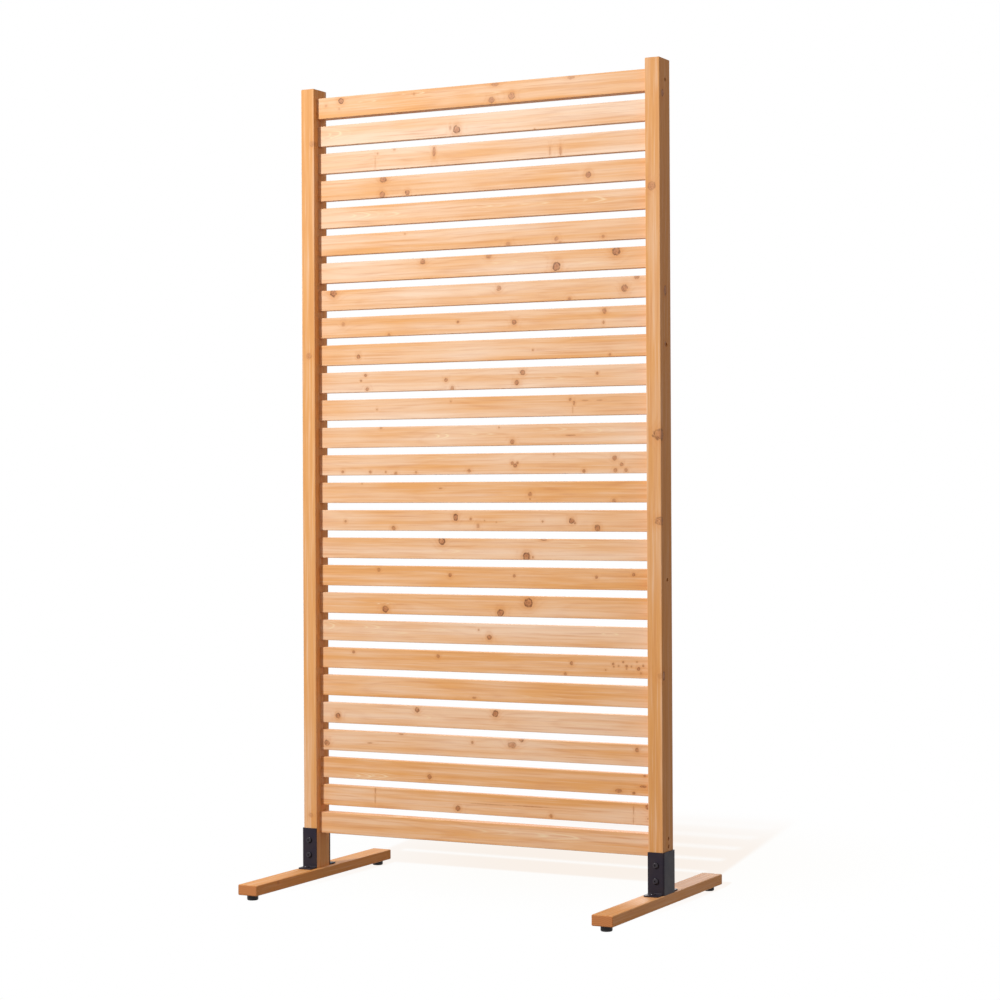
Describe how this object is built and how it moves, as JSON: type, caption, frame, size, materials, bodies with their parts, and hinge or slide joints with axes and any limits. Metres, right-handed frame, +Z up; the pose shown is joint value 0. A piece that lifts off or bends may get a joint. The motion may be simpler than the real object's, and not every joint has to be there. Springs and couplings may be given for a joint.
{
  "type": "garden privacy screen",
  "caption": "Free-standing slatted wooden garden privacy screen: horizontal boards between two posts, on cross feet with black steel brackets and levelling glides.",
  "frame": {"origin": "on the ground, midway between the posts and midway in depth", "axes": "+Z up, +X along the boards to the right seen from the front, the front faces -Y"},
  "size_m": [0.894, 0.585, 1.8],
  "materials": {
    "board_wood": "pale honey pine with small knots, thin matt oil",
    "frame_wood": "honey pine with small knots, thin matt oil",
    "black_coat": "satin black powder coat",
    "plated_steel": "dull zinc plate",
    "black_plastic": "moulded matt black"
  },
  "bodies": {
    "frame": {"top_rail": "frame_wood", "slat_01": "board_wood", "slat_02": "board_wood", "slat_03": "board_wood", "slat_04": "board_wood", "slat_05": "board_wood", "slat_06": "board_wood", "slat_07": "board_wood", "slat_08": "board_wood", "slat_09": "board_wood", "slat_10": "board_wood", "slat_11": "board_wood", "slat_12": "board_wood", "slat_13": "board_wood", "slat_14": "board_wood", "slat_15": "board_wood", "slat_16": "board_wood", "slat_17": "board_wood", "slat_18": "board_wood", "slat_19": "board_wood", "slat_20": "board_wood", "slat_21": "board_wood", "slat_22": "board_wood", "slat_23": "board_wood", "slat_24": "board_wood", "slat_25": "board_wood", "bottom_rail": "frame_wood", "left_post": "frame_wood", "left_foot": "frame_wood", "left_bracket": "black_coat", "left_bracket_bolts": "black_coat", "left_tab_screws": "black_coat", "left_bolt_washers": "plated_steel", "left_bolt_nuts": "plated_steel", "left_post_screws": "plated_steel", "left_glide_inserts": "plated_steel", "right_post": "frame_wood", "right_foot": "frame_wood", "right_bracket": "black_coat", "right_bracket_bolts": "black_coat", "right_tab_screws": "black_coat", "right_bolt_washers": "plated_steel", "right_bolt_nuts": "plated_steel", "right_post_screws": "plated_steel", "right_glide_inserts": "plated_steel"},
    "front_left_pad": {"front_left_glide_pad": "black_plastic"},
    "front_left_stem": {"front_left_glide_stem": "plated_steel"},
    "front_right_pad": {"front_right_glide_pad": "black_plastic"},
    "front_right_stem": {"front_right_glide_stem": "plated_steel"},
    "rear_left_pad": {"rear_left_glide_pad": "black_plastic"},
    "rear_left_stem": {"rear_left_glide_stem": "plated_steel"},
    "rear_right_pad": {"rear_right_glide_pad": "black_plastic"},
    "rear_right_stem": {"rear_right_glide_stem": "plated_steel"}
  },
  "joints": [
    {"name": "front_left_glide_height", "type": "slide", "parent": "frame", "child": "front_left_pad", "axis": [0, 0, -1], "range_m": [0, 0.01]},
    {"name": "front_left_glide_turn", "type": "hinge", "parent": "front_left_pad", "child": "front_left_stem", "pos_m": [-0.423, -0.2705, 0.0175], "axis": [0, 0, -1], "range_deg": [0, 2880]},
    {"name": "front_right_glide_height", "type": "slide", "parent": "frame", "child": "front_right_pad", "axis": [0, 0, -1], "range_m": [0, 0.01]},
    {"name": "front_right_glide_turn", "type": "hinge", "parent": "front_right_pad", "child": "front_right_stem", "pos_m": [0.423, -0.2705, 0.0175], "axis": [0, 0, -1], "range_deg": [0, 2880]},
    {"name": "rear_left_glide_height", "type": "slide", "parent": "frame", "child": "rear_left_pad", "axis": [0, 0, -1], "range_m": [0, 0.01]},
    {"name": "rear_left_glide_turn", "type": "hinge", "parent": "rear_left_pad", "child": "rear_left_stem", "pos_m": [-0.423, 0.2705, 0.0175], "axis": [0, 0, -1], "range_deg": [0, 2880]},
    {"name": "rear_right_glide_height", "type": "slide", "parent": "frame", "child": "rear_right_pad", "axis": [0, 0, -1], "range_m": [0, 0.01]},
    {"name": "rear_right_glide_turn", "type": "hinge", "parent": "rear_right_pad", "child": "rear_right_stem", "pos_m": [0.423, 0.2705, 0.0175], "axis": [0, 0, -1], "range_deg": [0, 2880]}
  ],
  "couplings": [
    {"joint": "front_left_glide_height", "follows": "front_left_glide_turn", "m_per_rad": 0.00019894},
    {"joint": "front_right_glide_height", "follows": "front_right_glide_turn", "m_per_rad": 0.00019894},
    {"joint": "rear_left_glide_height", "follows": "rear_left_glide_turn", "m_per_rad": 0.00019894},
    {"joint": "rear_right_glide_height", "follows": "rear_right_glide_turn", "m_per_rad": 0.00019894}
  ]
}
